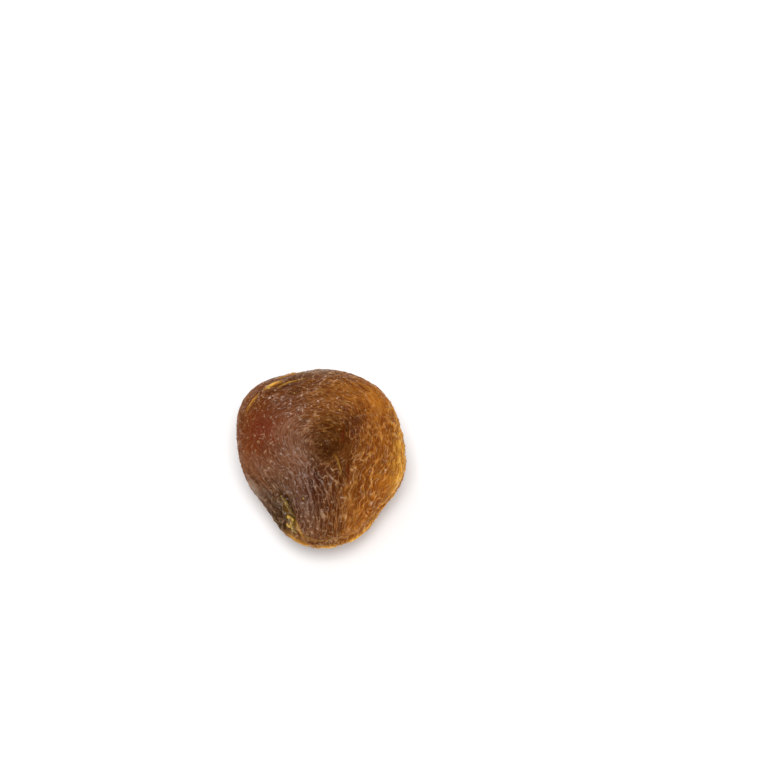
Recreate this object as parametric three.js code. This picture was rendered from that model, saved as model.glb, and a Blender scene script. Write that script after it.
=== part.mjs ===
// A whole pitted apricot, dried brown, lying flat. It is one piece of fruit: a thick cushion with a
// hollow in its top where the flesh sank over the missing stone, a slit at its front left where the
// stone was pressed out, and a skin that dried into folds and fine wrinkles.
// Millimetres, +Z up, the front of the fruit towards -Y, the origin under the middle of its box.
import * as THREE from "three";
import { mergeVertices } from "three/addons/utils/BufferGeometryUtils.js";

// Driving dimensions
const width = 36;
const length = 40;
const thickness = 15.5;
const faceSplits = 24; // splits along each edge of the icosahedron that the skin is laid on

// Seen from above, the fruit is a rounded shield: waves of [lobes, height, first crest in degrees]
// around a circle of radius 1.
const outlineWaves = [
  [1, 0.07, 78],
  [2, 0.045, 120],
  [3, 0.053, 30],
  [4, 0.01, 69],
  [5, 0.016, 64],
  [7, 0.013, 40],
];
const topFullness = 0.76; // powers under 1 fill out the section's shoulders
const bottomFullness = 0.9;

// The hollow in the top, which is three hollows in one: a wide one, gentle on its left and steep on
// its right, a corner at its back right, and a valley that leads away to the front.
const hollows = [
  { x: 0.8, y: 1.6, turn: -15, left: 6.2, right: 3.0, front: 5.4, back: 4.2, depth: 4.8 },
  { x: 3.9, y: 3.6, turn: 0, left: 3.2, right: 1.3, front: 3.0, back: 1.8, depth: 1.7 },
  { x: 5.2, y: -3.2, turn: 8, left: 1.8, right: 1.0, front: 4.2, back: 3.5, depth: 1.5 },
];

// Creases of the top: [from x, y], [to x, y], bow to the left of that way, half width, depth.
// A negative depth is a ridge.
const creases = [
  { from: [3.0, 2.5], to: [14.0, 12.0], bow: -0.5, half: 1.1, depth: 0.9 },
  { from: [2.0, 2.0], to: [4.2, -6.0], bow: 0.5, half: 0.4, depth: -0.55 },
  { from: [-13.5, 9.5], to: [1.5, 18.0], bow: 1.6, half: 0.7, depth: 0.7 },
  { from: [-12.5, 7.5], to: [3.5, 15.5], bow: 1.7, half: 0.7, depth: 0.6 },
  { from: [-4.5, -4.5], to: [-7.5, -9.5], bow: 0.4, half: 0.8, depth: 0.4 },
];

// The flank at the front left dried flat: a plane with this direction and height of its normal, in
// degrees, at this distance from the middle of the fruit.
const flank = { azimuth: -137, lift: 38, distance: 12.6, soft: 1.1 };

// The slit where the stone came out, along the upper edge of that flank.
const slit = { from: [-8.6, -9.2], to: [-4.4, -17.6], bow: 0.3, half: 0.8, depth: 1.2 };

// The suture round the front of the rim, a groove above a lip: where it starts and ends round the
// fruit and how far down they lie, in degrees, and how far they sink and stand out.
const suture = { from: 225, to: 335, groove: 87, lip: 96, half: 4.5, sink: 0.45, stand: 0.4 };

// Waves over the whole skin: size of one wave, how far it rises, how many plane waves make it up.
const swell = { size: 13, rise: 0.42, waves: 9, shift: 0.7 };
const folds = { size: 5.2, rise: 0.4, waves: 20, shift: 2.3, stretch: 0.6, half: 0.5 };

const restSquash = 0.5; // how far up the underside is pressed flat where it lies

const radians = THREE.MathUtils.degToRad;
const goldenAngle = Math.PI * (3 - Math.sqrt(5));

// A smooth irregular field between about -1 and 1, made of plane waves whose directions are spread
// evenly over a ball.
function waveField({ size, waves, shift }, p) {
  let sum = 0;
  for (let i = 0; i < waves; i += 1) {
    const z = 1 - (2 * i + 1) / waves;
    const r = Math.sqrt(1 - z * z);
    const a = goldenAngle * i + shift;
    const across = r * Math.cos(a) * p.x + r * Math.sin(a) * p.y + z * p.z;
    sum += Math.sin((2 * Math.PI * across) / size + shift * i * i);
  }
  return sum / Math.sqrt(waves);
}

// How far (x, y) is from a bowed line, as 1 on the line and falling off to 0, and fading at its ends.
function onLine({ from, to, bow, half }, x, y) {
  const alongX = to[0] - from[0];
  const alongY = to[1] - from[1];
  const reach = Math.hypot(alongX, alongY);
  const t = ((x - from[0]) * alongX + (y - from[1]) * alongY) / (reach * reach);
  const offset = ((y - from[1]) * alongX - (x - from[0]) * alongY) / reach;
  if (t <= 0 || t >= 1) return 0;
  const middle = 4 * t * (1 - t);
  return Math.exp(-(((offset - bow * middle) / half) ** 2)) * Math.sqrt(middle) * middle;
}

// How far a point at this angle around stands out or sinks by the suture, at this angle down.
function sutureRise(around, down) {
  const turn = (THREE.MathUtils.radToDeg(around) + 360) % 360;
  const t = (turn - suture.from) / (suture.to - suture.from);
  const share = THREE.MathUtils.smoothstep(t, 0, 0.2) - THREE.MathUtils.smoothstep(t, 0.7, 1);
  const level = THREE.MathUtils.radToDeg(down);
  const lip = suture.stand * Math.exp(-(((level - suture.lip) / suture.half) ** 2));
  const groove = suture.sink * Math.exp(-(((level - suture.groove) / suture.half) ** 2));
  return share * (lip - groove);
}

function signedPower(value, power) {
  return Math.sign(value) * Math.abs(value) ** power;
}

// The plain cushion: a shield outline with a full, rounded section. The angle from the top is
// eased so that points lie evenly along the section.
function cushion(direction) {
  const around = Math.atan2(direction.y, direction.x);
  const down = Math.acos(THREE.MathUtils.clamp(direction.z, -1, 1));
  const eased = down - 0.2 * Math.sin(2 * down);
  const outline = outlineWaves.reduce(
    (sum, [lobes, height, crest]) => sum + height * Math.cos(lobes * (around - radians(crest))),
    1,
  );
  const fullness = eased < Math.PI / 2 ? topFullness : bottomFullness;
  const out = outline * Math.sin(eased) ** fullness;
  return new THREE.Vector3(
    (width / 2) * out * Math.cos(around),
    (length / 2) * out * Math.sin(around),
    (thickness / 2) * signedPower(Math.cos(eased), fullness),
  );
}

// Presses what stands past the flank's plane back towards it.
function pressFlank(p) {
  const lift = radians(flank.lift);
  const turn = radians(flank.azimuth);
  const normal = new THREE.Vector3(
    Math.cos(turn) * Math.cos(lift),
    Math.sin(turn) * Math.cos(lift),
    Math.sin(lift),
  );
  const past = p.dot(normal) - flank.distance;
  if (past > -flank.soft) {
    const kept = flank.soft * (Math.tanh((past + flank.soft) / flank.soft) - 1);
    p.addScaledVector(normal, kept - past);
  }
}

// How deep one hollow is at (x, y), with a width of its own on each side.
function hollowDepth(hollow, x, y) {
  const turn = radians(hollow.turn);
  const u = (x - hollow.x) * Math.cos(turn) + (y - hollow.y) * Math.sin(turn);
  const v = (y - hollow.y) * Math.cos(turn) - (x - hollow.x) * Math.sin(turn);
  const across = u / (u > 0 ? hollow.right : hollow.left);
  const along = v / (v > 0 ? hollow.back : hollow.front);
  return hollow.depth * Math.exp(-0.5 * (across ** 2 + along ** 2));
}

// The skin's point in one direction from the middle of the fruit.
function skinPoint(direction) {
  const p = cushion(direction);
  const outward = new THREE.Vector3(
    p.x / width ** 2,
    p.y / length ** 2,
    p.z / thickness ** 2,
  ).normalize();
  const topShare = THREE.MathUtils.smoothstep(direction.z, 0, 0.45);
  const freeShare = 1 - THREE.MathUtils.smoothstep(-direction.z, 0.8, 0.97);
  const faceShare = 0.2 + 0.8 * THREE.MathUtils.smoothstep(Math.abs(direction.z), 0.2, 0.7);
  pressFlank(p);
  const stretched = new THREE.Vector3(p.x, folds.stretch * p.y, p.z);
  const fold = waveField(folds, stretched);
  const swollen = swell.rise * faceShare * waveField(swell, p);
  const crest = Math.exp(-((fold / folds.half) ** 2)) - 0.5;
  const folded = folds.rise * (0.4 + 0.6 * faceShare) * crest;
  const around = Math.atan2(direction.y, direction.x);
  const ridged = sutureRise(around, Math.acos(THREE.MathUtils.clamp(direction.z, -1, 1)));
  let sunk = 0;
  for (const hollow of hollows) sunk += hollowDepth(hollow, p.x, p.y);
  for (const crease of creases) sunk += crease.depth * onLine(crease, p.x, p.y);
  const slitDepth = slit.depth * onLine(slit, p.x, p.y) * topShare;
  p.addScaledVector(outward, (swollen + folded) * freeShare + ridged - slitDepth);
  p.z -= sunk * topShare;
  return p;
}

// Lays the skin on an icosahedron, fits it to its driving dimensions and presses its underside flat.
function driedApricot() {
  const sphere = new THREE.IcosahedronGeometry(1, faceSplits - 1);
  sphere.deleteAttribute("normal");
  sphere.deleteAttribute("uv");
  const skin = mergeVertices(sphere, 1e-4);
  const points = skin.getAttribute("position");
  const direction = new THREE.Vector3();
  for (let i = 0; i < points.count; i += 1) {
    direction.fromBufferAttribute(points, i).normalize();
    const p = skinPoint(direction);
    points.setXYZ(i, p.x, p.y, p.z);
  }
  skin.computeBoundingBox();
  const box = skin.boundingBox;
  const size = box.getSize(new THREE.Vector3());
  const middle = box.getCenter(new THREE.Vector3());
  const depthWhole = thickness + restSquash / 2;
  for (let i = 0; i < points.count; i += 1) {
    const up = ((points.getZ(i) - box.min.z) * depthWhole) / size.z - restSquash / 2;
    const t = THREE.MathUtils.clamp(up / restSquash, 0, 1);
    points.setXYZ(
      i,
      ((points.getX(i) - middle.x) * width) / size.x,
      ((points.getY(i) - middle.y) * length) / size.y,
      up < restSquash ? restSquash * t * t * (2 - t) : up,
    );
  }
  skin.computeVertexNormals();
  return skin;
}

const fruitSkin = new THREE.MeshStandardMaterial({
  color: 0x7a4520,
  roughness: 0.5,
  metalness: 0,
});

const apricot = new THREE.Group();
const driedFruit = new THREE.Mesh(driedApricot(), fruitSkin);
driedFruit.name = "dried_apricot";
apricot.add(driedFruit);

export default apricot;
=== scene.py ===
"""Looks of a whole pitted apricot, dried brown, on a pale floor under soft studio light.

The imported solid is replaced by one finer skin. It has the solid's own cushion, hollow, creases,
flank, slit and seam, worked out from the same formulas on a closed grid. The wrinkles of the dried
skin are the zero lines of plane waves: they raise the grid, and its points keep them for the
finish. Shapes are worked out in millimetres and go into the mesh in metres.
"""

import logging
import math
from dataclasses import dataclass
from enum import Enum

import bpy
import numpy as np
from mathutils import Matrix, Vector


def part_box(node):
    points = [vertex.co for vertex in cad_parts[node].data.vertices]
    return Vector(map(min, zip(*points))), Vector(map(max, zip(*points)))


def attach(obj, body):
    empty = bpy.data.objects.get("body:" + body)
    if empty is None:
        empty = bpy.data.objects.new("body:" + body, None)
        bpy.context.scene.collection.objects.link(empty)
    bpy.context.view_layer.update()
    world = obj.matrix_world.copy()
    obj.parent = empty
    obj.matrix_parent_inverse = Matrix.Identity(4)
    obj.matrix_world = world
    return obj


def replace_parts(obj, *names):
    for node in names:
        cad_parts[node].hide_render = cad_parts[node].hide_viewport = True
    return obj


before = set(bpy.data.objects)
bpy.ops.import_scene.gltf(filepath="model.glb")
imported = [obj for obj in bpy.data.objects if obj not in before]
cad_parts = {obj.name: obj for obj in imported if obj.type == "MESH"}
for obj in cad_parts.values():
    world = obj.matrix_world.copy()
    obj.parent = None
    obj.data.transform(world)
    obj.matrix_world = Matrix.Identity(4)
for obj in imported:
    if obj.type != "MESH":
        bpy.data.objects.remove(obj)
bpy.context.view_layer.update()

LOG = logging.getLogger("dried_apricot")
NODE = "dried_apricot"
BODY = "root"
MM = 0.001
GOLDEN_ANGLE = math.pi * (3 - math.sqrt(5))
WELD_DIGITS = 6
MIDDLE = 0.5  # of a noise, and of a crest's height, which is measured from there

Array = np.ndarray
Pair = tuple[float, float]
Colour = tuple[float, float, float]
Triple = tuple[float, float, float]


class Mark(Enum):
    """Numbers kept at each point of the skin, which its finish reads."""

    FINE = "fine"
    NET = "net"
    FOLDS = "folds"
    STRENGTH = "strength"
    LENGTHWISE = "lengthwise"
    ROUND_WAY = "round_way"
    LONG_WAY = "long_way"
    # Painted shade: in the hollow, in a valley in front of it and along the seams, and darker bands
    # on the flank
    PAINTED_SHADE = "hollow"
    CUT = "cut"
    RIDGE = "ridge"
    ORANGE = "orange"
    RED = "red"
    # Darker red-brown parts, where the crests and glints are painted pale as highlights
    MAUVE_AND_HIGHLIGHTS = "mauve"
    # Painted sheen: the pale surroundings' reflection, painted on the flank and along the far rim
    PAINTED_SHEEN = "painted_sheen"
    FLESH = "flesh"
    # Painted glow of light through the thin rim, with yellow streaks on the far left rim's ridges
    RIM_GLOW = "edge"
    OLIVE = "olive"
    # Painted light on the slope left of the hollow: a lighter tone and paler crests
    LIT_SLOPE = "pale"


@dataclass(frozen=True)
class Ease:
    """A step over a number, eased from 0 at low to its rise at high."""

    low: float
    high: float
    rise: float = 1

    def at(self, value: Array) -> Array:
        """Rise times 3t^2 - 2t^3, where t goes from 0 at low to 1 at high."""
        t = np.clip((value - self.low) / (self.high - self.low), 0, 1)
        return self.rise * t * t * (3 - 2 * t)


@dataclass(frozen=True)
class Bell:
    """A bell over a number."""

    middle: float
    half: float
    rise: float = 1

    def at(self, value: Array) -> Array:
        """Rise times exp(-((value - middle) / half)^2)."""
        return self.rise * np.exp(-(((value - self.middle) / self.half) ** 2))


def angles_of(directions: Array) -> tuple[Array, Array]:
    """Each direction's angle round the upright axis and down from the top, in radians."""
    x, y, z = directions.T
    return np.arctan2(y, x), np.arccos(np.clip(z, -1, 1))


def signed_power(value: Array, power: Array) -> Array:
    """The power of a number's size, with the number's sign."""
    return np.sign(value) * np.abs(value) ** power


@dataclass(frozen=True)
class PlaneWaves:
    """A smooth irregular field of plane waves whose directions are spread evenly over a ball."""

    size: float
    count: int
    shift: float

    def at(self, points: Array) -> Array:
        """Sum over i of sin(2 pi (direction i . p) / size + shift i^2), over the root of count.

        Args:
            points: Places in millimetres, one row each.

        Returns:
            The field there, mostly between -1 and 1.
        """
        i = np.arange(self.count)
        z = 1 - (2 * i + 1) / self.count
        r = np.sqrt(1 - z * z)
        turn = GOLDEN_ANGLE * i + self.shift
        directions = np.stack([r * np.cos(turn), r * np.sin(turn), z])
        phase = 2 * np.pi * (points @ directions) / self.size + self.shift * i * i
        return np.sin(phase).sum(axis=1) / math.sqrt(self.count)


@dataclass(frozen=True)
class OutlineWave:
    """One wave round the outline seen from above."""

    lobes: int
    height: float
    crest: float

    def at(self, around: Array) -> Array:
        """Height times the cosine of lobes times the angle from the crest."""
        return self.height * np.cos(self.lobes * (around - math.radians(self.crest)))


@dataclass(frozen=True)
class Line:
    """A bowed line over the skin, seen from above: a crease, or a ridge if its depth is negative."""

    start: Pair
    end: Pair
    bow: float
    half: float
    depth: float = 0
    tint: float = 1

    def share(self, x: Array, y: Array) -> Array:
        """1 on the line, falling off beside it as exp(-(offset / half)^2) and fading at its ends.

        Args:
            x: Places to the right, in millimetres.
            y: Places away, in millimetres.

        Returns:
            The share of the line at each place.
        """
        along_x = self.end[0] - self.start[0]
        along_y = self.end[1] - self.start[1]
        reach = math.hypot(along_x, along_y)
        t = ((x - self.start[0]) * along_x + (y - self.start[1]) * along_y) / reach**2
        offset = ((y - self.start[1]) * along_x - (x - self.start[0]) * along_y) / reach
        middle = np.clip(4 * t * (1 - t), 0, 1)
        across = (offset - self.bow * middle) / self.half
        return np.exp(-(across**2)) * middle**1.5


def depths(lines: tuple[Line, ...], x: Array, y: Array) -> Array:
    """How deep lines are in all at each place: the sum of depth times share."""
    return sum(line.depth * line.share(x, y) for line in lines)


def tinting(lines: tuple[Line, ...], x: Array, y: Array) -> Array:
    """How strongly lines colour each place in all: the sum of tint times share."""
    return sum(line.tint * line.share(x, y) for line in lines)


@dataclass(frozen=True)
class Spot:
    """A soft round patch of the skin seen from above, such as a mound, a hollow or a tint."""

    x: float
    y: float
    left: float
    right: float
    front: float
    back: float
    turn: float = 0
    rise: float = 1

    def at(self, x: Array, y: Array) -> Array:
        """Rise times exp(-(across^2 + along^2) / 2), with a width of its own on each side.

        Args:
            x: Places to the right, in millimetres.
            y: Places away, in millimetres.

        Returns:
            The patch's height at each place.
        """
        turn = math.radians(self.turn)
        u = (x - self.x) * math.cos(turn) + (y - self.y) * math.sin(turn)
        v = (y - self.y) * math.cos(turn) - (x - self.x) * math.sin(turn)
        across = u / np.where(u > 0, self.right, self.left)
        along = v / np.where(v > 0, self.back, self.front)
        return self.rise * np.exp(-0.5 * (across**2 + along**2))


@dataclass(frozen=True)
class Flank:
    """A side of the fruit that dried flat: a plane that the skin is pressed back to."""

    azimuth: float
    lift: float
    distance: float
    soft: float

    def normal(self) -> Array:
        """The plane's unit normal."""
        lift = math.radians(self.lift)
        turn = math.radians(self.azimuth)
        out = math.cos(lift)
        return np.array([math.cos(turn) * out, math.sin(turn) * out, math.sin(lift)])

    def press(self, points: Array) -> Array:
        """Moves what stands past the plane back to it, by a tanh that starts a little before it.

        Args:
            points: Places in millimetres, one row each.

        Returns:
            The places after pressing.
        """
        normal = self.normal()
        past = points @ normal - self.distance
        kept = self.soft * (np.tanh((past + self.soft) / self.soft) - 1)
        moved = np.where(past > -self.soft, kept - past, 0)
        return points + moved[:, None] * normal


@dataclass(frozen=True)
class Suture:
    """The seam round the front of the rim, a groove above a lip. Angles are in degrees."""

    start: float
    end: float
    groove: Bell
    lip: Bell
    fade_in: Ease = Ease(0, 0.2)
    fade_out: Ease = Ease(0.7, 1)

    def share(self, around: Array) -> Array:
        """1 along the seam, easing to 0 at its ends."""
        t = (np.degrees(around) % 360 - self.start) / (self.end - self.start)
        return self.fade_in.at(t) - self.fade_out.at(t)

    def rise(self, around: Array, down: Array) -> Array:
        """The lip's height less the groove's depth in millimetres: bells over the angle down."""
        level = np.degrees(down)
        return self.share(around) * (self.lip.at(level) - self.groove.at(level))


class ClosedGrid:
    """A cube's six faces, each a grid of u and v, blown up to a sphere and welded."""

    def __init__(self, splits: int) -> None:
        """Lays the grid.

        Args:
            splits: Squares along each edge of the cube.
        """
        line = np.tan(np.linspace(-1, 1, splits + 1) * math.pi / 4)
        u, v = np.meshgrid(line, line, indexing="ij")
        one = np.ones_like(u)
        sheets = ((u, v, one), (v, u, -one), (one, u, v), (-one, v, u), (v, one, u), (u, -one, v))
        loose = np.concatenate([np.stack(sheet, axis=-1).reshape(-1, 3) for sheet in sheets])
        loose /= np.linalg.norm(loose, axis=1, keepdims=True)
        _, first, same = np.unique(
            np.round(loose, WELD_DIGITS), axis=0, return_index=True, return_inverse=True
        )
        self.directions = loose[first]
        number = same.reshape(6, splits + 1, splits + 1)
        corners = (number[:, :-1, :-1], number[:, 1:, :-1], number[:, 1:, 1:], number[:, :-1, 1:])
        self.quads = np.stack([corner.ravel() for corner in corners], axis=1)

    def normals(self, points: Array) -> Array:
        """Outward normals: each square's two diagonals crossed, summed at its corners.

        Args:
            points: Where the grid's points lie now.

        Returns:
            A unit normal for each point.
        """
        a, b, c, d = (points[self.quads[:, i]] for i in range(4))
        faces = np.cross(c - a, d - b)
        sums = np.zeros_like(points)
        for corner in self.quads.T:
            for axis in range(3):
                sums[:, axis] += np.bincount(corner, faces[:, axis], len(points))
        return sums / np.linalg.norm(sums, axis=1, keepdims=True)


@dataclass(frozen=True)
class FruitForm:
    """The fruit's main form in millimetres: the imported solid's, without its folds."""

    width: float
    length: float
    thickness: float
    waves: tuple[OutlineWave, ...] = (
        OutlineWave(1, 0.07, 78),
        OutlineWave(2, 0.045, 120),
        OutlineWave(3, 0.053, 30),
        OutlineWave(4, 0.01, 69),
        OutlineWave(5, 0.016, 64),
        OutlineWave(7, 0.013, 40),
    )
    section_ease: float = 0.2
    section_steps: int = 400
    top_fullness: float = 0.76
    bottom_fullness: float = 0.9
    top: Ease = Ease(0, 0.45)
    under: Ease = Ease(0.8, 0.97)
    face: Ease = Ease(0.2, 0.7, rise=0.8)
    rim_swell: float = 0.2
    hollows: tuple[Spot, ...] = (
        Spot(0.8, 1.6, left=6.2, right=3.0, front=5.4, back=4.2, turn=-15, rise=4.8),
        Spot(3.9, 3.6, left=3.2, right=1.3, front=3.0, back=1.8, rise=1.7),
        Spot(5.2, -3.2, left=1.8, right=1.0, front=4.2, back=3.5, turn=8, rise=1.5),
    )
    creases: tuple[Line, ...] = (
        Line((3.0, 2.5), (14.0, 12.0), bow=-0.5, half=1.1, depth=0.9),
        Line((2.0, 2.0), (4.2, -6.0), bow=0.5, half=0.4, depth=-0.55),
        Line((-13.5, 9.5), (1.5, 18.0), bow=1.6, half=0.7, depth=0.7),
        Line((-12.5, 7.5), (3.5, 15.5), bow=1.7, half=0.7, depth=0.6),
        Line((-4.5, -4.5), (-7.5, -9.5), bow=0.4, half=0.8, depth=0.4),
    )
    flank: Flank = Flank(azimuth=-137, lift=38, distance=12.6, soft=1.1)
    slit: Line = Line((-8.6, -9.2), (-4.4, -17.6), bow=0.3, half=0.8, depth=1.2)
    off_flank: Ease = Ease(0.3, 1.4)
    suture: Suture = Suture(225, 335, groove=Bell(87, 4.5, rise=0.45), lip=Bell(96, 4.5, rise=0.4))
    swell: PlaneWaves = PlaneWaves(13, 9, 0.7)
    swell_rise: float = 0.42
    rest_squash: float = 0.5

    def cushion(self, directions: Array) -> Array:
        """A shield outline with a full section: powers of the sine and cosine of the eased angle.

        Args:
            directions: Unit directions from the fruit's middle.

        Returns:
            The plain cushion's points.
        """
        around, down = angles_of(directions)
        eased = down - self.section_ease * np.sin(2 * down)
        outline = 1 + sum(wave.at(around) for wave in self.waves)
        fullness = np.where(eased < math.pi / 2, self.top_fullness, self.bottom_fullness)
        out = outline * np.sin(eased) ** fullness
        return np.stack(
            [
                self.width / 2 * out * np.cos(around),
                self.length / 2 * out * np.sin(around),
                self.thickness / 2 * signed_power(np.cos(eased), fullness),
            ],
            axis=1,
        )

    def surface(self, directions: Array) -> Array:
        """The cushion, pressed, swollen, and sunk at its hollow, creases and slit.

        Args:
            directions: Unit directions from the fruit's middle.

        Returns:
            The form's points.
        """
        points = self.cushion(directions)
        outward = points / np.array([self.width, self.length, self.thickness]) ** 2
        outward /= np.linalg.norm(outward, axis=1, keepdims=True)
        top = self.top.at(directions[:, 2])
        free = 1 - self.under.at(-directions[:, 2])
        points = self.flank.press(points)
        x, y = points[:, 0], points[:, 1]
        faces = self.rim_swell + self.face.at(np.abs(directions[:, 2]))
        rise = self.swell_rise * self.swell.at(points) * free * faces
        sunk = sum(hollow.at(x, y) for hollow in self.hollows) + depths(self.creases, x, y)
        slit = self.slit.depth * self.slit.share(x, y) * top
        seam = self.suture.rise(*angles_of(directions))
        points = points + outward * (rise + seam - slit)[:, None]
        points[:, 2] -= sunk * top
        return points

    def lying_flat(self, points: Array) -> Array:
        """How far each fitted point lies in the flank's plane, from 0 to 1."""
        middle = np.array([0, 0, self.thickness / 2])
        short = self.flank.distance - (points - middle) @ self.flank.normal()
        return 1 - self.off_flank.at(short)

    def ways(self, directions: Array, points: Array) -> tuple[Array, Array, Array]:
        """Where each direction leads over the skin.

        The way down is the length of the cushion's section from the top, summed over short
        chords, less the depth of the hollows, so it also grows along their slopes.

        Args:
            directions: Unit directions from the fruit's middle.
            points: The form's points.

        Returns:
            The angle around, and in millimetres the way out from the nearer end of the fruit's
            upright axis and the way down.
        """
        around, down = angles_of(directions)
        angles = np.linspace(0, math.pi, self.section_steps)
        arc = np.stack([np.sin(angles), np.zeros_like(angles), np.cos(angles)], axis=1)
        chords = np.linalg.norm(np.diff(self.cushion(arc), axis=0), axis=1)
        lengths = np.concatenate([[0], np.cumsum(chords)])
        way = np.interp(down, angles, lengths)
        top = self.top.at(directions[:, 2])
        drop = sum(hollow.at(points[:, 0], points[:, 1]) for hollow in self.hollows) * top
        return around, np.minimum(way, lengths[-1] - way), way - drop

    def fit(self, points: Array) -> Array:
        """Fits points to the box and presses the underside flat, as s t^2 (2 - t) up to s.

        Args:
            points: The form's points.

        Returns:
            The points in the box, which stands on z = 0.
        """
        low, high = points.min(axis=0), points.max(axis=0)
        share = (points - low) / (high - low)
        up = share[:, 2] * (self.thickness + self.rest_squash / 2) - self.rest_squash / 2
        t = np.clip(up / self.rest_squash, 0, 1)
        return np.stack(
            [
                (share[:, 0] - 0.5) * self.width,
                (share[:, 1] - 0.5) * self.length,
                np.where(up < self.rest_squash, self.rest_squash * t * t * (2 - t), up),
            ],
            axis=1,
        )

    def build(self, grid: ClosedGrid) -> Array:
        """The form's points on a grid, fitted to the solid's box."""
        return self.fit(self.surface(grid.directions))


@dataclass(frozen=True)
class Wrinkles:
    """Wrinkles whose crests are the zero lines of waves that are drawn out along them.

    Round wrinkles run round the fruit. Lengthwise wrinkles run down to its front end. The gap is
    half a wave, in millimetres, and crests lie about 1.7 gaps apart, because few waves run straight
    across them. The half width is in the waves' own unit, and the rises are in millimetres: where
    wrinkles are round, and how much more where they are lengthwise.
    """

    shift: float
    gap: float
    slimness: float
    sway: float
    half: float = 0.6
    rise: float = 0
    more_rise: float = 0
    count: int = 48
    strength: float = 1.4
    radius: float = 12.5
    tip: float = 1
    sway_gaps: float = 6
    sway_waves: tuple[Pair, Pair] = ((14, 0.3), (13, 2.2))
    drift: float = 0.7
    drift_size: float = 17
    drift_waves: tuple[Pair, Pair] = ((10, 4.1), (10, 1.7))
    front: Ease = Ease(0, 22, rise=0.4)
    packing: float = 0.8
    stretch: float = 0.55
    lengthwise_bend: float = 1.2

    def at(self, points: Array, places: tuple[Array, Array, Array], lengthwise: Array) -> Array:
        """Mixes round and lengthwise wrinkles by the roots of their shares, so the spread stays.

        Args:
            points: Places in millimetres.
            places: Angle round the fruit, way out and way down, in millimetres.
            lengthwise: Share of lengthwise wrinkles at each place.

        Returns:
            A waving number of spread about 1, whose zero lines are the crests.
        """
        waves = PlaneWaves(2 * self.gap, self.count, self.shift)
        rounds, longs = (waves.at(way) for way in self.ways(points, places))
        return self.strength * (rounds * np.sqrt(1 - lengthwise) + longs * np.sqrt(lengthwise))

    def height(self, waving: Array, lengthwise: Array) -> Array:
        """Rise times exp(-(waving / half)^2) less a half, in millimetres."""
        rise = self.rise + self.more_rise * lengthwise
        return rise * (Bell(0, self.half).at(waving) - MIDDLE)

    def ways(self, points: Array, places: tuple[Array, Array, Array]) -> tuple[Array, Array]:
        """Places for the round wrinkles on two cones, and for the lengthwise ones in the fruit.

        The cones have their tips at the fruit's top and underside, so round wrinkles keep their
        length towards the middle. Lengthwise ones draw together as x / (1 - s), with s easing up
        from 0 towards the front. Short waves sway both, and long ones that all sets of wrinkles
        share make them drift.

        Args:
            points: Places in millimetres.
            places: Angle round the fruit, way out and way down, in millimetres.

        Returns:
            Both sets of places, in millimetres across the wrinkles and drawn out along them.
        """
        around, out, down = places
        sway = self.sway * self.gap
        size = self.sway_gaps * self.gap
        bend, twist = (
            sway * PlaneWaves(size, count, shift + self.shift).at(points)
            + self.drift * PlaneWaves(self.drift_size, *drift).at(points)
            for (count, shift), drift in zip(self.sway_waves, self.drift_waves)
        )
        reach = (out + self.tip) / self.slimness
        around = around + twist / self.radius
        rounds = np.stack([reach * np.cos(around), reach * np.sin(around), down + bend], axis=1)
        x, y, z = points.T
        slow = self.stretch / self.slimness
        across = self.packing * x / (1 - self.front.at(-y)) + self.lengthwise_bend * bend
        return rounds, np.stack([across, slow * (y + twist), slow * z], axis=1)


class ShaderValue:
    """A number that a shader works out: Python's operators on it add Math nodes."""

    def __init__(self, shader: "Shader", socket: bpy.types.NodeSocket) -> None:
        """Wraps an output socket of a shader."""
        self.shader = shader
        self.socket = socket

    def _math(self, operation: str, first: object, second: object) -> "ShaderValue":
        """One Math node on two numbers or values."""
        settings = {"operation": operation}
        return self.shader.node("ShaderNodeMath", settings, {0: first, 1: second}, "Value")

    def __add__(self, other: object) -> "ShaderValue":
        """This plus the other."""
        return self._math("ADD", self, other)

    def __radd__(self, other: object) -> "ShaderValue":
        """The other plus this."""
        return self._math("ADD", other, self)

    def __sub__(self, other: object) -> "ShaderValue":
        """This less the other."""
        return self._math("SUBTRACT", self, other)

    def __rsub__(self, other: object) -> "ShaderValue":
        """The other less this."""
        return self._math("SUBTRACT", other, self)

    def __mul__(self, other: object) -> "ShaderValue":
        """This times the other."""
        return self._math("MULTIPLY", self, other)

    def __rmul__(self, other: object) -> "ShaderValue":
        """The other times this."""
        return self._math("MULTIPLY", other, self)

    def __abs__(self) -> "ShaderValue":
        """This without its sign."""
        return self._math("ABSOLUTE", self, 0)


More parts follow.
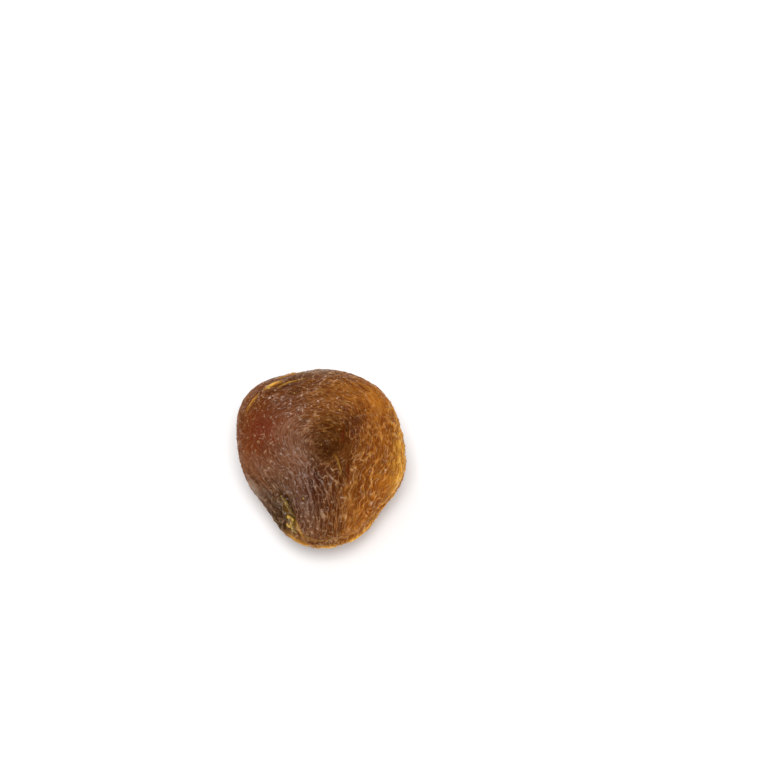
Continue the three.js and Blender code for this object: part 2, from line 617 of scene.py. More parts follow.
class Shader:
    """One material's nodes."""

    def __init__(self, name: str) -> None:
        """Starts a material with only its output.

        Args:
            name: The material's name.
        """
        self.material = bpy.data.materials.new(name)
        self.material.use_nodes = True
        self.tree = self.material.node_tree
        self.tree.nodes.clear()

    def node(
        self, kind: str, settings: dict, inputs: dict, output: str | int | None = None
    ) -> ShaderValue | None:
        """Adds one node.

        Args:
            kind: The node's type.
            settings: What is set on the node first.
            inputs: Values or links for its sockets, by name or number.
            output: The name or number of the output that is wanted, if any.

        Returns:
            That output, or none.
        """
        node = self.tree.nodes.new(kind)
        for name, setting in settings.items():
            setattr(node, name, setting)
        for name, value in inputs.items():
            if isinstance(value, ShaderValue):
                self.tree.links.new(value.socket, node.inputs[name])
            else:
                node.inputs[name].default_value = value
        return None if output is None else ShaderValue(self, node.outputs[output])

    def mark(self, mark: Mark, output: str = "Fac") -> ShaderValue:
        """Reads one of the skin's numbers, or places as a vector."""
        return self.node("ShaderNodeAttribute", {"attribute_name": mark.value}, {}, output)

    def mix(
        self, share: object, first: object, second: object, blend: str = "MIX"
    ) -> ShaderValue:
        """Mixes two colours.

        Args:
            share: How much of the second colour.
            first: A colour or a value.
            second: A colour or a value.
            blend: How the second goes over the first.

        Returns:
            The mixed colour.
        """
        settings = {"data_type": "RGBA", "clamp_factor": True, "blend_type": blend}
        inputs = {0: share, 6: self._colour(first), 7: self._colour(second)}
        return self.node("ShaderNodeMix", settings, inputs, 2)

    @staticmethod
    def _colour(colour: object) -> object:
        """A colour of three numbers with its alpha, or a value as it is."""
        return colour if isinstance(colour, ShaderValue) else (*colour, 1)

    def noise(self, size: float, detail: float, places: ShaderValue | None = None) -> ShaderValue:
        """A noise over the object.

        Args:
            size: The size of its patches, in millimetres or in the places' own unit.
            detail: How many finer layers it has.
            places: A vector to lay it on, or none for the object's own places.

        Returns:
            The noise, between 0 and 1.
        """
        unit = 1 if places else MM
        place = places or self.node("ShaderNodeTexCoord", {}, {}, "Object")
        inputs = {"Vector": place, "Scale": 1 / (size * unit), "Detail": detail}
        return self.node("ShaderNodeTexNoise", {}, inputs, "Fac")

    def surface(self, sockets: dict) -> bpy.types.Material:
        """Ends the material with a Principled surface.

        Args:
            sockets: Values or links for the surface's sockets.

        Returns:
            The finished material.
        """
        surface = self.node("ShaderNodeBsdfPrincipled", {}, sockets, "BSDF")
        self.node("ShaderNodeOutputMaterial", {}, {"Surface": surface})
        return self.material

    def step(self, value: ShaderValue, ease: Ease) -> ShaderValue:
        """Eases a value from 0 at the step's low to its rise at its high."""
        settings = {"interpolation_type": "SMOOTHSTEP"}
        ends = {"From Min": ease.low, "From Max": ease.high, "To Max": ease.rise}
        return self.node("ShaderNodeMapRange", settings, {"Value": value, **ends}, "Result")

    def patches(self, patches: "Patches") -> ShaderValue:
        """Patches of noise: the step's rise inside them and 0 outside."""
        return self.step(self.noise(patches.size, patches.detail), patches.edge)


@dataclass(frozen=True)
class Patches:
    """Patches where a noise passes a step: size in millimetres, finer layers, and the step."""

    size: float
    detail: float
    edge: Ease


def tone(red: int, green: int, blue: int) -> Colour:
    """A screen colour of 0 to 255 as linear light: ((c + 0.055) / 1.055)^2.4 above the toe."""
    shares = (red / 255, green / 255, blue / 255)
    return tuple(s / 12.92 if s <= 0.04045 else ((s + 0.055) / 1.055) ** 2.4 for s in shares)


@dataclass(frozen=True)
class FruitSkinFinish:
    """The dried skin: brown, orange, red and mauve parts, thin pale wrinkles, a soft gloss, and
    painted shade and light.
    """

    brown: Colour = tone(128, 74, 23)
    orange: Colour = tone(173, 105, 27)
    red: Colour = tone(100, 31, 3)
    mauve: Colour = tone(82, 39, 15)
    # Painted light: the lighter tone of the slope left of the hollow
    lit_slope: Colour = tone(152, 110, 84)
    # Painted shade: the dark red-brown of the hollow, the valley and the seams
    shade_tone: Colour = tone(54, 17, 0)
    cut_red: Colour = tone(104, 36, 0)
    # Crest lines and glints: golden, and pale where highlights are painted on them
    golden: Colour = tone(216, 154, 64)
    pale: Colour = tone(168, 140, 124)
    # Painted sheen: the pale surroundings' reflection on the flank and the far rim
    painted_sheen: Colour = tone(150, 134, 118)
    olive: Colour = tone(72, 54, 16)
    flesh: Colour = tone(96, 66, 14)
    # Painted glow: the bright yellow of light through the thin rim; the thin ridges are given it too
    edge: Colour = tone(250, 188, 70)
    # Painted shade between the wrinkles: a tint multiplied in between the crests, in fold troughs
    # and in thin grooves
    valley_shade: Colour = (0.5, 0.36, 0.26)
    # Glints: small patches painted pale or golden as highlights, also raised and coated
    glints: Patches = Patches(0.6, 1, Ease(0.61, 0.71))
    breaks: Patches = Patches(0.9, 2, Ease(0.38, 0.62, rise=0.9))
    unbroken: float = 0.35
    fine_line: Ease = Ease(0.45, 0.1, rise=0.8)
    net_line: Ease = Ease(0.3, 0, rise=0.45)
    thread_size: float = 0.7
    thread: Ease = Ease(0.045, 0, rise=0.6)
    # Painted shade: thin dark grooves, and darkening between the crests and in the folds' troughs
    groove_size: float = 0.58
    groove: Ease = Ease(0.06, 0, rise=0.65)
    between: Ease = Ease(0.34, 0.9, rise=0.8)
    deep: Ease = Ease(0.5, 1.7, rise=0.45)
    # How much crest lines and glints show: the pale shares paint highlights on them
    line_share: float = 0.32
    pale_line_share: float = 0.07
    dot_share: float = 0.16
    pale_dot_share: float = 0.3
    # How much the red lobe's crests and glints are painted pale as highlights
    red_paleness: float = 0.6
    hollow_line_loss: float = 0.4
    streak_size: float = 3.5
    tint_cloud_size: float = 5
    gloss_cloud_size: float = 4
    grain_size: float = 0.3
    speckle_size: float = 0.4
    speckle: float = 0.9
    roughness: float = 0.42
    cloudy_roughness: float = 0.2
    hollow_roughness: float = 0.3
    bumps: Triple = (0.15, 0.05, 0.03)
    cloudy_orange: float = 0.8
    streaky_orange: float = 0.6
    streaky_mauve: float = 0.4
    streaky_sheen: Pair = (3, -0.6)
    streaky_glow: Pair = (3.2, -0.8)

    def make(self) -> bpy.types.Material:
        """Builds the material.

        Returns:
            The skin's material.
        """
        shader = Shader("dried_fruit_skin")
        lines, wrinkle_shade = self._wrinkles(shader)
        glints = shader.patches(self.glints)
        # Where shade is painted, crest lines show less, the coat is taken off and the skin is
        # rougher
        hollow = shader.mark(Mark.PAINTED_SHADE)
        broken = shader.patches(self.breaks) + self.unbroken
        # Where the crests and glints are painted pale as highlights: the mauve parts, the lit slope
        # and the red lobe
        red = shader.mark(Mark.RED) * self.red_paleness
        pale = shader.mark(Mark.MAUVE_AND_HIGHLIGHTS) + shader.mark(Mark.LIT_SLOPE) + red
        speckle = (MIDDLE - shader.noise(self.speckle_size, 3)) * self.speckle
        # Painted shade between the wrinkles, multiplied in with the skin's random speckle
        colour = shader.mix(wrinkle_shade + speckle, self._tints(shader), self.valley_shade, "MULTIPLY")
        # Crest lines and glints: golden, turning to the pale of painted highlights where pale is
        # high
        shown = lines * broken * (1 - hollow * self.hollow_line_loss)
        shown = shown * (pale * self.pale_line_share + self.line_share)
        shown = shown + glints * (pale * self.pale_dot_share + self.dot_share)
        colour = shader.mix(shown, colour, shader.mix(pale, self.golden, self.pale))
        colour = shader.mix(shader.mark(Mark.CUT), colour, self.cut_red)
        # Thin ridges in the yellow of the painted glow
        colour = shader.mix(shader.mark(Mark.RIDGE), colour, self.edge)
        colour = shader.mix(shader.mark(Mark.FLESH), colour, self.flesh)
        cloudy = (shader.noise(self.gloss_cloud_size, 3) - MIDDLE) * self.cloudy_roughness
        of_lines, of_dots, of_grain = self.bumps
        grain = shader.noise(self.grain_size, 2)
        height = lines * of_lines + glints * of_dots + grain * of_grain
        bump = {"Strength": 1.0, "Distance": MM, "Height": height}
        return shader.surface(
            {
                "Base Color": colour,
                "Roughness": self.roughness + cloudy + hollow * self.hollow_roughness,
                "Normal": shader.node("ShaderNodeBump", {}, bump, "Normal"),
                "Subsurface Weight": 0.25,
                "Subsurface Radius": (1.0, 0.45, 0.15),
                "Subsurface Scale": 1.0 * MM,
                "Specular IOR Level": 0.05,
                "Coat Weight": (lines * broken + glints) * 0.8 * (1 - hollow),
                "Coat Roughness": 0.13,
            }
        )

    def _wrinkles(self, shader: Shader) -> tuple[ShaderValue, ShaderValue]:
        """How far each place is on a wrinkle's crest, and how much shade is painted between
        wrinkles.
        """
        fine = abs(shader.mark(Mark.FINE))
        net = abs(shader.mark(Mark.NET))
        strength = shader.mark(Mark.STRENGTH)
        lines = shader.step(fine, self.fine_line) + shader.step(net, self.net_line)
        between = shader.step(fine, self.between)
        deep = shader.step(abs(shader.mark(Mark.FOLDS)), self.deep)
        threads = self._threads(shader, self.thread_size, self.thread)
        grooves = self._threads(shader, self.groove_size, self.groove)
        return (lines + threads) * strength, (between + deep + grooves) * strength

    @staticmethod
    def _threads(shader: Shader, size: float, line: Ease) -> ShaderValue:
        """Thin lines where a noise that is drawn out along the wrinkles passes its middle."""
        lengthwise = shader.mark(Mark.LENGTHWISE)
        rounds = shader.noise(size, 0, shader.mark(Mark.ROUND_WAY, "Vector")) * (1 - lengthwise)
        longs = shader.noise(size, 0, shader.mark(Mark.LONG_WAY, "Vector")) * lengthwise
        return shader.step(abs(rounds + longs - MIDDLE), line)

    def _tints(self, shader: Shader) -> ShaderValue:
        """The skin's colour without its wrinkles, with the painted sheen, glow, light and shade."""
        streaks = shader.noise(self.streak_size, 2, shader.mark(Mark.ROUND_WAY, "Vector"))
        streaky = streaks - MIDDLE
        # Streaks break up the painted sheen and the painted glow at the rim
        painted_sheen, edge = (
            streaks * rate + start for rate, start in (self.streaky_sheen, self.streaky_glow)
        )
        cloudy = (shader.noise(self.tint_cloud_size, 3) - MIDDLE) * self.cloudy_orange
        colour = self.brown
        for share, tint in (
            (shader.mark(Mark.ORANGE) + cloudy + streaky * self.streaky_orange, self.orange),
            (shader.mark(Mark.RED), self.red),
            (shader.mark(Mark.MAUVE_AND_HIGHLIGHTS) + streaky * self.streaky_mauve, self.mauve),
            (shader.mark(Mark.LIT_SLOPE), self.lit_slope),
            (shader.mark(Mark.PAINTED_SHEEN) * painted_sheen, self.painted_sheen),
            (shader.mark(Mark.OLIVE), self.olive),
            (shader.mark(Mark.RIM_GLOW) * edge, self.edge),
            # the painted shade goes over all other tints
            (shader.mark(Mark.PAINTED_SHADE), self.shade_tone),
        ):
            colour = shader.mix(share, colour, tint)
        return colour


@dataclass(frozen=True)
class TornFleshFinish:
    """Dried flesh that shows where the skin is torn: gold with olive patches."""

    gold: Colour = tone(204, 160, 54)
    olive: Colour = tone(108, 80, 22)
    patches: Patches = Patches(0.9, 3, Ease(0.44, 0.64))

    def make(self) -> bpy.types.Material:
        """Builds the material.

        Returns:
            The flesh's material.
        """
        shader = Shader("torn_fruit_flesh")
        patches = shader.patches(self.patches)
        grain = shader.noise(0.2, 2)
        bump = {"Strength": 1.0, "Distance": MM, "Height": grain * 0.1}
        return shader.surface(
            {
                "Base Color": shader.mix(patches, self.olive, self.gold),
                "Roughness": 0.3 + grain * 0.25,
                "Normal": shader.node("ShaderNodeBump", {}, bump, "Normal"),
                "Subsurface Weight": 0.3,
                "Subsurface Radius": (1.0, 0.6, 0.2),
                "Subsurface Scale": 0.6 * MM,
            }
        )


def new_piece(
    name: str, points: Array, quads: Array, marks: dict[Mark, Array], finish: bpy.types.Material
) -> bpy.types.Object:
    """Makes a smooth mesh object at the origin, on the fruit's body and with its slot.

    Args:
        name: The piece's name.
        points: Its points in millimetres.
        quads: The four point numbers of each face.
        marks: Numbers or vectors kept at each point.
        finish: Its material.

    Returns:
        The piece.
    """
    mesh = bpy.data.meshes.new(name)
    mesh.vertices.add(len(points))
    mesh.vertices.foreach_set("co", (points * MM).ravel())
    mesh.loops.add(quads.size)
    mesh.loops.foreach_set("vertex_index", quads.ravel())
    mesh.polygons.add(len(quads))
    mesh.polygons.foreach_set("loop_start", np.arange(0, quads.size, 4))
    mesh.update(calc_edges=True)
    mesh.validate()
    mesh.shade_smooth()
    for mark, numbers in marks.items():
        flat = numbers.ndim == 1
        layer = mesh.attributes.new(mark.value, "FLOAT" if flat else "FLOAT_VECTOR", "POINT")
        layer.data.foreach_set("value" if flat else "vector", numbers.ravel())
    mesh.materials.append(finish)
    piece = bpy.data.objects.new(name, mesh)
    bpy.context.collection.objects.link(piece)
    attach(piece, BODY)
    LOG.info("%s: %d faces", name, len(quads))
    return piece


@dataclass(frozen=True)
class Ground:
    """The finished skin, which the small pieces settle on."""

    points: Array
    normals: Array
    least_up: float = 0.1

    def settle(self, x: float, y: float) -> tuple[Array, Array]:
        """Finds the skin under a place.

        Args:
            x: Place to the right, in millimetres.
            y: Place away, in millimetres.

        Returns:
            The nearest point of the skin's upper side, and its normal.
        """
        off = (self.points[:, 0] - x) ** 2 + (self.points[:, 1] - y) ** 2
        off = np.where(self.normals[:, 2] > self.least_up, off, np.inf)
        nearest = int(np.argmin(off))
        return self.points[nearest], self.normals[nearest]


@dataclass(frozen=True)
class Shred:
    """A strand of torn flesh: a ball drawn out along a bent line over the skin, and flattened."""

    start: Pair
    end: Pair
    bow: float
    half: float
    stand: float
    flatness: float = 0.6
    ragged: tuple[Triple, ...] = ((0.3, 23, 7), (0.2, 41, 0))

    def points(self, directions: Array, ground: Ground) -> Array:
        """Draws a ball out along the parabola through the skin at its ends and its middle.

        Its width is ragged by waves of height times sin(rate t + turn bow).

        Args:
            directions: The ball's unit directions, whose z leads along the line.
            ground: The skin.

        Returns:
            The strand's points in millimetres.
        """
        t = 0.5 + 0.5 * directions[:, 2]
        middle = (np.array(self.start) + np.array(self.end)) / 2
        first, centre, last = (
            ground.settle(*place)[0] for place in (self.start, middle, self.end)
        )
        shares = ((1 - t) * (1 - 2 * t), 4 * t * (1 - t), t * (2 * t - 1))
        along = sum(share[:, None] * end for share, end in zip(shares, (first, centre, last)))
        normal = ground.settle(*middle)[1]
        way = last - first
        side = np.cross(normal, way / np.linalg.norm(way))
        waves = (high * np.sin(rate * t + turn * self.bow) for high, rate, turn in self.ragged)
        half = self.half * (1 + sum(waves))
        across = half * directions[:, 0] + self.bow * 4 * t * (1 - t)
        up = self.flatness * half * directions[:, 1] + self.stand
        return along + across[:, None] * side + up[:, None] * normal


@dataclass(frozen=True)
class DriedApricot:
    """The whole fruit: one closed skin with its wrinkles, torn flesh in its slit, and crumbs."""

    form: FruitForm
    splits: int = 126
    strand_splits: int = 6
    crumb_splits: int = 2

    # The wrinkles, and where they are lengthwise or faint
    fine: Wrinkles = Wrinkles(0.7, gap=0.44, slimness=3.4, sway=0.5, rise=0.16, more_rise=0.08)
    net: Wrinkles = Wrinkles(1.9, gap=0.8, slimness=2.2, sway=0.7, rise=0.17)
    folds: Wrinkles = Wrinkles(
        3.3, gap=1.3, slimness=2.4, sway=0.5, half=0.8, rise=0.2, more_rise=0.35
    )
    threads: Wrinkles = Wrinkles(5.1, gap=0.6, slimness=4.5, sway=0.45)
    upward: Ease = Ease(0, 0.4)
    lengthwise: Ease = Ease(0.25, 0.6)
    usual_strength: float = 0.95
    strength_waves: PlaneWaves = PlaneWaves(9, 12, 3.1)
    strength_change: float = 0.22
    red_calm: float = 0.8
    hollow_calm: float = 0.9
    flank_calm: float = 0.4
    back_calm: Ease = Ease(1, 9, rise=0.25)
    off_rest: Ease = Ease(0, 0.5)
    drawn_above: Ease = Ease(7, 9)

    # Patches of the skin
    lower: Spot = Spot(1.5, -10.5, left=8.0, right=9.5, front=8, back=6.5)
    small_bump: Spot = Spot(-1.3, 16.6, left=0.5, right=0.5, front=0.4, back=0.4, rise=0.35)
    orange: Spot = Spot(11.5, 12.5, left=6, right=6, front=5, back=6, rise=0.6)
    rust: Spot = Spot(7.4, 4.8, left=2.0, right=3.6, front=5, back=4, turn=-20, rise=0.45)
    red: Spot = Spot(-12.0, 4.2, left=4.5, right=4.8, front=7.0, back=5.0, rise=0.95)
    # This spot, pale_rim and grey_shoulder are mauve parts, where crests and glints are painted pale
    # as highlights
    mauve: Spot = Spot(-2.5, -9.5, left=7.5, right=4.6, front=8, back=5.6, rise=0.95)
    # Painted light on the slope left of the hollow
    lit_left_slope: Spot = Spot(-4.8, 0.6, left=2.9, right=2.4, front=6, back=4.2, rise=0.75)
    # The hollow: its wrinkles are calmer, and shade is painted in it
    hollow: Spot = Spot(1.2, 0.8, left=1.8, right=3.4, front=3.2, back=2.6, rise=0.9)
    grey_shoulder: Spot = Spot(-7.0, 11.0, left=4.5, right=4, front=3, back=3.5, turn=30, rise=0.6)
    # Painted shade in a valley beside the ridge in front of the hollow
    valley_shade: Spot = Spot(3.6, -3.4, left=1.0, right=2.0, front=2.6, back=2.4, rise=0.5)
    pale_rim: Spot = Spot(-6.5, 15.5, left=6, right=6, front=2.5, back=4, turn=30, rise=0.7)
    olive: Spot = Spot(-7.6, -14.2, left=4, right=1.4, front=4, back=4, rise=0.8)
    dark_speck: Spot = Spot(-9.7, 1.2, left=0.22, right=0.22, front=0.22, back=0.22)

    # Lines of the skin
    cuts: tuple[Line, ...] = (
        Line((4.6, 5.9), (4.3, 1.2), bow=0.3, half=0.35, depth=0.6),
        Line((5.3, -3.4), (6.1, -8.4), bow=0.2, half=0.3, depth=0.4),
    )
    back_fold: Line = Line((4.2, 4.0), (12.2, 11.0), bow=-0.2, half=0.35, depth=0.5)
    # Creases on the flank and by the slit, with painted shade along them
    seams: tuple[Line, ...] = (
        Line((-8.9, -8.4), (-5.6, -14.0), bow=0.6, half=0.28, depth=0.3, tint=0.6),
        Line((-16.4, -2.4), (-8.4, -10.6), bow=-0.5, half=0.3, depth=0.25, tint=0.6),
        Line((-14.0, -7.4), (-7.6, -14.8), bow=-0.3, half=0.25, depth=0.2, tint=0.6),
    )
    ridges: tuple[Line, ...] = (
        Line((2.4, 0.0), (4.6, -7.8), bow=0.4, half=0.13, depth=-0.1, tint=0.4),
        Line((-5.6, -13.2), (-2.6, -19.4), bow=-0.35, half=0.14, depth=-0.2, tint=0.4),
    )
    # Bands of painted sheen along the flank
    sheen_bands: tuple[Line, ...] = (
        Line((-16.2, -3.4), (-8.6, -14.8), bow=-0.5, half=0.8, tint=0.55),
        Line((-13.6, -5.2), (-7.0, -13.8), bow=-0.2, half=0.3, tint=0.55),
    )
    # Darker bands on the flank, in the same mark as the painted shade
    dark_bands: tuple[Line, ...] = (
        Line((-13.4, -6.4), (-7.0, -14.6), bow=-0.1, half=0.7, tint=0.5),
    )
    # Ridges along the far left rim, streaked yellow in the painted glow's mark
    rim_streaks: tuple[Line, ...] = (
        Line((-12.6, 12.9), (-7.4, 15.5), bow=0.2, half=0.38, depth=-0.25, tint=0.8),
        Line((-9.6, 15.8), (-3.8, 18.4), bow=0.3, half=0.42, depth=-0.3, tint=0.8),
        Line((-15.8, 7.8), (-12.6, 12.6), bow=0.4, half=0.26, depth=-0.2, tint=0.8),
        Line((-9.5, 13.2), (-3.0, 16.2), bow=0.5, half=0.12, depth=-0.15, tint=0.8),
    )

    # Where the tints, the painted sheen and the painted glow reach, by the skin's height, place or
    # angle round the fruit in degrees
    facing_up: Ease = Ease(-0.1, 0.4)
    orange_side: Ease = Ease(4, 12.5)
    orange_lean: float = 0.3
    lean_from: float = -5
    flank_sheen: float = 0.1
    sheen_height: Ease = Ease(5, 7.5)
    far_rim: Ease = Ease(15, 19, rise=0.45)
    far_rim_end: Ease = Ease(0, 8)
    olive_height: Ease = Ease(3, 6)
    open_slit: Ease = Ease(0.25, 0.6, rise=0.8)
    # Painted glow of light through the thin rim: along the right rim, and at its lips round the
    # front
    right_rim: Ease = Ease(13.5, 17, rise=0.55)
    right_rim_height: Ease = Ease(6.5, 9.5)
    lips: tuple[Bell, ...] = (Bell(6.1, 0.7), Bell(8.4, 0.35, rise=0.4))
    lip_glow: tuple[Ease, ...] = (Ease(243, 262, rise=0.95), Ease(288, 304, rise=0.45))
    glow_end: Ease = Ease(324, 344, rise=0.6)
    glow_peak: Bell = Bell(306, 6, rise=0.7)

    # What lies on the skin
    shreds: tuple[Shred, ...] = (
        Shred((-8.1, -9.9), (-6.1, -12.9), bow=0.15, half=0.46, stand=0.08),
        Shred((-6.9, -11.8), (-5.2, -14.2), bow=-0.1, half=0.36, stand=0.16),
        Shred((-6.8, -13.8), (-5.6, -16.0), bow=0.25, half=0.46, stand=-0.1),
        Shred((-6.0, -15.0), (-4.9, -17.2), bow=-0.2, half=0.4, stand=0.0),
        Shred((-7.0, -15.0), (-6.0, -15.9), bow=0.15, half=0.4, stand=0.05),
        Shred((-6.3, -14.3), (-5.3, -15.0), bow=0.1, half=0.3, stand=0.25),
    )
    crumbs: tuple[Pair, ...] = (
        (5.0, 9.4),
        (-3.2, -12.2),
        (-11.0, 13.3),
        (-11.3, 13.9),
        (-4.3, 18.4),
        (-2.6, -18.4),
    )
    crumb_half: float = 0.26
    loose_crumbs: int = 26
    loose_half: float = 0.13
    loose_corners: tuple[Pair, Pair] = ((-14, -15), (14, 16))
    least_crumb: float = 0.6
    crumb_shape: Triple = (1, 1.5, 0.8)
    seed: int = 7

    def _kinds(self) -> dict[Mark, Wrinkles]:
        """The wrinkles that raise the skin, by the mark that keeps their waving number."""
        return {Mark.FINE: self.fine, Mark.NET: self.net, Mark.FOLDS: self.folds}

    def relief(self, grid: ClosedGrid, points: Array) -> dict[Mark, Array]:
        """Lays the wrinkles, and says how strong they are.

        Args:
            grid: The grid.
            points: The main form's points in millimetres.

        Returns:
            The wrinkles' waving numbers, their strength and share of lengthwise ones from 0 to 1,
            and the places that the finish lays its threads on.
        """
        x, y = points[:, 0], points[:, 1]
        upward = self.upward.at(grid.normals(points)[:, 2])
        lengthwise = self.lengthwise.at(self.lower.at(x, y) * upward)
        places = self.form.ways(grid.directions, points)
        calm = self.red_calm * self.red.at(x, y) + self.hollow_calm * self.hollow.at(x, y)
        strength = self.usual_strength + self.strength_change * self.strength_waves.at(points)
        strength *= (1 - upward * calm) * (1 - self.back_calm.at(y))
        strength *= 1 - self.flank_calm * self.form.lying_flat(points)
        round_way, long_way = self.threads.ways(points, places)
        laid = {mark: kind.at(points, places, lengthwise) for mark, kind in self._kinds().items()}
        return laid | {
            Mark.LENGTHWISE: lengthwise,
            Mark.ROUND_WAY: round_way,
            Mark.LONG_WAY: long_way,
            Mark.STRENGTH: np.clip(strength, 0, 1),
        }

    def height(self, points: Array, relief: dict[Mark, Array]) -> Array:
        """How far the wrinkles and the drawn lines stand out.

        Args:
            points: The main form's points in millimetres.
            relief: The wrinkles' numbers.

        Returns:
            Heights in millimetres.
        """
        x, y, z = points.T
        lengthwise = relief[Mark.LENGTHWISE]
        heights = (kind.height(relief[mark], lengthwise) for mark, kind in self._kinds().items())
        wrinkles = sum(heights) * relief[Mark.STRENGTH] * self.off_rest.at(z)
        drawn = (self.back_fold, *self.cuts, *self.seams, *self.ridges, *self.rim_streaks)
        lines = self.small_bump.at(x, y) - depths(drawn, x, y)
        return wrinkles + lines * self.drawn_above.at(z)

    def marks(self, points: Array, normals: Array) -> dict[Mark, Array]:
        """The tints that the finish reads, painted shade and light among them.

        Args:
            points: The skin's points in millimetres.
            normals: Its normals.

        Returns:
            An array of 0 to 1 for each mark.
        """
        x, y, z = points.T
        top = self.facing_up.at(normals[:, 2])
        # Painted glow of light through the thin rim: at the lips round the front, along the right
        # rim, and in streaks on the far left rim
        around = np.degrees(np.arctan2(y, x)) % 360
        glow = sum(ease.at(around) for ease in self.lip_glow)
        glow = glow * (1 - self.glow_end.at(around)) + self.glow_peak.at(around)
        edge = glow * sum(lip.at(z) for lip in self.lips)
        edge += self.right_rim.at(x) * self.right_rim_height.at(z)
        edge += tinting(self.rim_streaks, x, y) * top
        # Painted sheen: a little over the flank, more in bands along it, and along the far rim
        painted_sheen = self.flank_sheen * self.form.lying_flat(points)
        painted_sheen += tinting(self.sheen_bands, x, y) * top
        painted_sheen += self.far_rim.at(y) * (1 - self.far_rim_end.at(x)) * top
        lean = self.orange_lean * np.maximum(self.lean_from - y, 0)
        cuts = tinting(self.cuts, x, y) + self.dark_speck.at(x, y)
        greys = (self.mauve, self.pale_rim, self.grey_shoulder)
        # Painted shade: the hollow, the valley, the seams and the flank's darker bands
        lines = [tinting(kind, x, y) for kind in (self.seams, self.dark_bands)]
        shades = [spot.at(x, y) for spot in (self.hollow, self.valley_shade)] + lines
        return {
            Mark.PAINTED_SHADE: np.max(shades, axis=0) * top,
            Mark.ORANGE: np.maximum(self.orange_side.at(x + lean), self.orange.at(x, y)),
            Mark.RED: np.maximum(self.red.at(x, y), self.rust.at(x, y)) * top,
            Mark.MAUVE_AND_HIGHLIGHTS: np.max([spot.at(x, y) for spot in greys], axis=0) * top,
            Mark.LIT_SLOPE: self.lit_left_slope.at(x, y) * top,
            Mark.PAINTED_SHEEN: np.clip(painted_sheen, 0, 1) * self.sheen_height.at(z),
            Mark.OLIVE: self.olive.at(x, y) * self.olive_height.at(z),
            Mark.FLESH: self.open_slit.at(self.form.slit.share(x, y)) * top,
            Mark.CUT: np.clip(cuts * top, 0, 1),
            Mark.RIDGE: tinting(self.ridges, x, y) * top,
            Mark.RIM_GLOW: np.clip(edge, 0, 1),
        }

    def _skin(self) -> tuple[bpy.types.Object, Ground]:
        """Makes the skin with its finish.

        Returns:
            The skin's object, and its points and normals for what settles on it.
        """
        grid = ClosedGrid(self.splits)
        points = self.form.build(grid)
        relief = self.relief(grid, points)
        height = self.height(points, relief)
        points = self.form.fit(points + grid.normals(points) * height[:, None])
        ground = Ground(points, grid.normals(points))
        marks = relief | self.marks(points, ground.normals)
        finish = FruitSkinFinish().make()
        return new_piece("apricot_skin", points, grid.quads, marks, finish), ground

    def _flesh(self, ground: Ground, finish: bpy.types.Material) -> bpy.types.Object:
        """Lays the strands of torn flesh in the slit.

        Args:
            ground: The skin.
            finish: The flesh's material.

        Returns:
            One object with all strands.
        """
        ball = ClosedGrid(self.strand_splits)
        strands = [shred.points(ball.directions, ground) for shred in self.shreds]
        return self._gather("torn_flesh", ball, strands, finish)

    def _crumbs(self, ground: Ground, finish: bpy.types.Material) -> bpy.types.Object:
        """Scatters tiny dry crumbs: a ball each, drawn out, turned, and half sunk in the skin.

        Args:
            ground: The skin.
            finish: The flesh's material.

        Returns:
            One object with all crumbs.
        """
        random = np.random.default_rng(self.seed)
        spread = random.uniform(*self.loose_corners, (self.loose_crumbs, 2))
        ball = ClosedGrid(self.crumb_splits)
        grains = []
        for number, place in enumerate([*self.crumbs, *spread]):
            middle, normal = ground.settle(*place)
            largest = self.crumb_half if number < len(self.crumbs) else self.loose_half
            half = random.uniform(self.least_crumb, 1, 3) * largest * np.array(self.crumb_shape)
            turn = random.uniform(0, math.pi)
            side = np.cross(normal, (math.cos(turn), math.sin(turn), 0))
            side /= np.linalg.norm(side)
            axes = np.stack([side, np.cross(normal, side), normal])
            grains.append(middle + (ball.directions * half) @ axes)
        return self._gather("skin_crumbs", ball, grains, finish)

    @staticmethod
    def _gather(
        name: str, ball: ClosedGrid, parts: list[Array], finish: bpy.types.Material
    ) -> bpy.types.Object:
        """Makes one object of several reshaped balls.

        Args:
            name: The object's name.
            ball: The grid that they all have.
            parts: The points of each.
            finish: Their material.

        Returns:
            The object.
        """
        count = len(ball.directions)
        quads = np.concatenate([ball.quads + count * number for number in range(len(parts))])
        return new_piece(name, np.concatenate(parts), quads, {}, finish)

    def build(self) -> bpy.types.Object:
        """Makes the skin, the torn flesh and the crumbs.

        Returns:
            The skin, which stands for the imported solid.
        """
        skin, ground = self._skin()
        finish = TornFleshFinish().make()
        self._flesh(ground, finish)
        self._crumbs(ground, finish)
        return skin


@dataclass(frozen=True)
class SoftBox:
    """A square lamp that faces the middle of the floor, in metres and watts."""

    name: str
    place: Triple
    size: float
    power: float

    def build(self) -> None:
        """Makes the lamp."""
        data = bpy.data.lights.new(self.name, "AREA")
        data.size = self.size
        data.energy = self.power
        lamp = bpy.data.objects.new(self.name, data)
        lamp.location = self.place
        lamp.rotation_euler = (-Vector(self.place)).to_track_quat("-Z", "Y").to_euler()
        bpy.context.collection.objects.link(lamp)


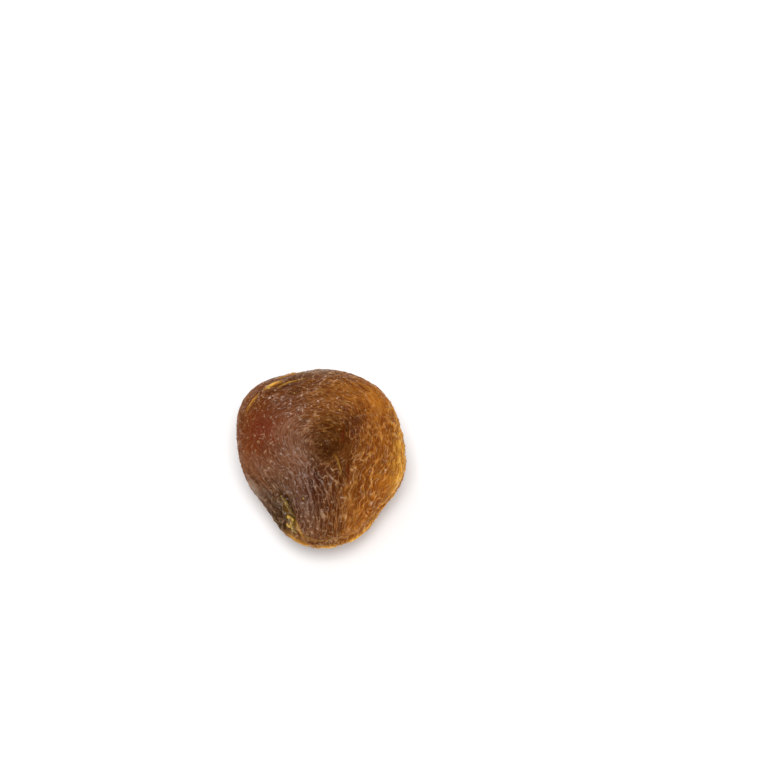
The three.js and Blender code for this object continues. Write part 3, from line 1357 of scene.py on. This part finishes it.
@dataclass(frozen=True)
class Studio:
    """A pale floor, soft light from above and the camera at the photograph's angle."""

    view_rise: float = 64
    far: float = 450 * MM
    lens: float = 99
    aside: float = 14.5 * MM
    above: float = 14.05 * MM
    floor_half: float = 2.5
    sky: float = 0.6
    lamps: tuple[SoftBox, ...] = (
        SoftBox("soft_box", (0.0, -0.12, 0.7), size=0.45, power=3.0),
        SoftBox("front_fill", (0.4, -0.45, 0.16), size=0.3, power=0.9),
        SoftBox("back_fill", (-0.35, 0.6, 0.3), size=0.35, power=1.4),
        SoftBox("side_fill", (-0.6, -0.27, 0.14), size=0.3, power=0.35),
    )

    def build(self, middle: Vector) -> None:
        """Makes the floor, the lamps, the sky and the camera.

        Args:
            middle: The fruit's middle.
        """
        self._floor()
        for lamp in self.lamps:
            lamp.build()
        self._sky()
        self._camera(middle)

    def _floor(self) -> None:
        """A wide pale sheet at z = 0."""
        mesh = bpy.data.meshes.new("floor")
        half = self.floor_half
        corners = [(-half, -half, 0), (half, -half, 0), (half, half, 0), (-half, half, 0)]
        mesh.from_pydata(corners, [], [(0, 1, 2, 3)])
        shader = Shader("pale_floor")
        paint = {"Base Color": (0.93, 0.93, 0.93, 1), "Roughness": 0.9, "Specular IOR Level": 0.1}
        mesh.materials.append(shader.surface(paint))
        floor = bpy.data.objects.new("floor", mesh)
        bpy.context.collection.objects.link(floor)

    def _sky(self) -> None:
        """A pale sky all round, and plain tones."""
        world = bpy.data.worlds.new("pale_room")
        world.use_nodes = True
        sky = world.node_tree.nodes["Background"]
        sky.inputs["Color"].default_value = (1, 1, 1, 1)
        sky.inputs["Strength"].default_value = self.sky
        bpy.context.scene.world = world
        bpy.context.scene.view_settings.view_transform = "Standard"

    def _camera(self, middle: Vector) -> None:
        """Places the camera so that the fruit stands where it does in the photograph."""
        rise = math.radians(self.view_rise)
        back = Vector((0, -math.cos(rise), math.sin(rise)))
        up = Vector((0, math.sin(rise), math.cos(rise)))
        aim = middle + Vector((self.aside, 0, 0)) + up * self.above
        data = bpy.data.cameras.new("camera")
        data.lens = self.lens
        data.sensor_width = 36
        camera = bpy.data.objects.new("camera", data)
        camera.location = aim + back * self.far
        camera.rotation_euler = (-back).to_track_quat("-Z", "Y").to_euler()
        bpy.context.collection.objects.link(camera)
        bpy.context.scene.camera = camera


def main() -> None:
    """Builds the fruit and the studio."""
    logging.basicConfig(level=logging.INFO, format="%(name)s: %(message)s")
    low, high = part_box(NODE)
    size = [(b - a) / MM for a, b in zip(low, high)]
    fruit = DriedApricot(FruitForm(*size))
    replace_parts(fruit.build(), NODE)
    Studio().build((Vector(low) + Vector(high)) / 2)


if __name__ == "__main__":
    main()
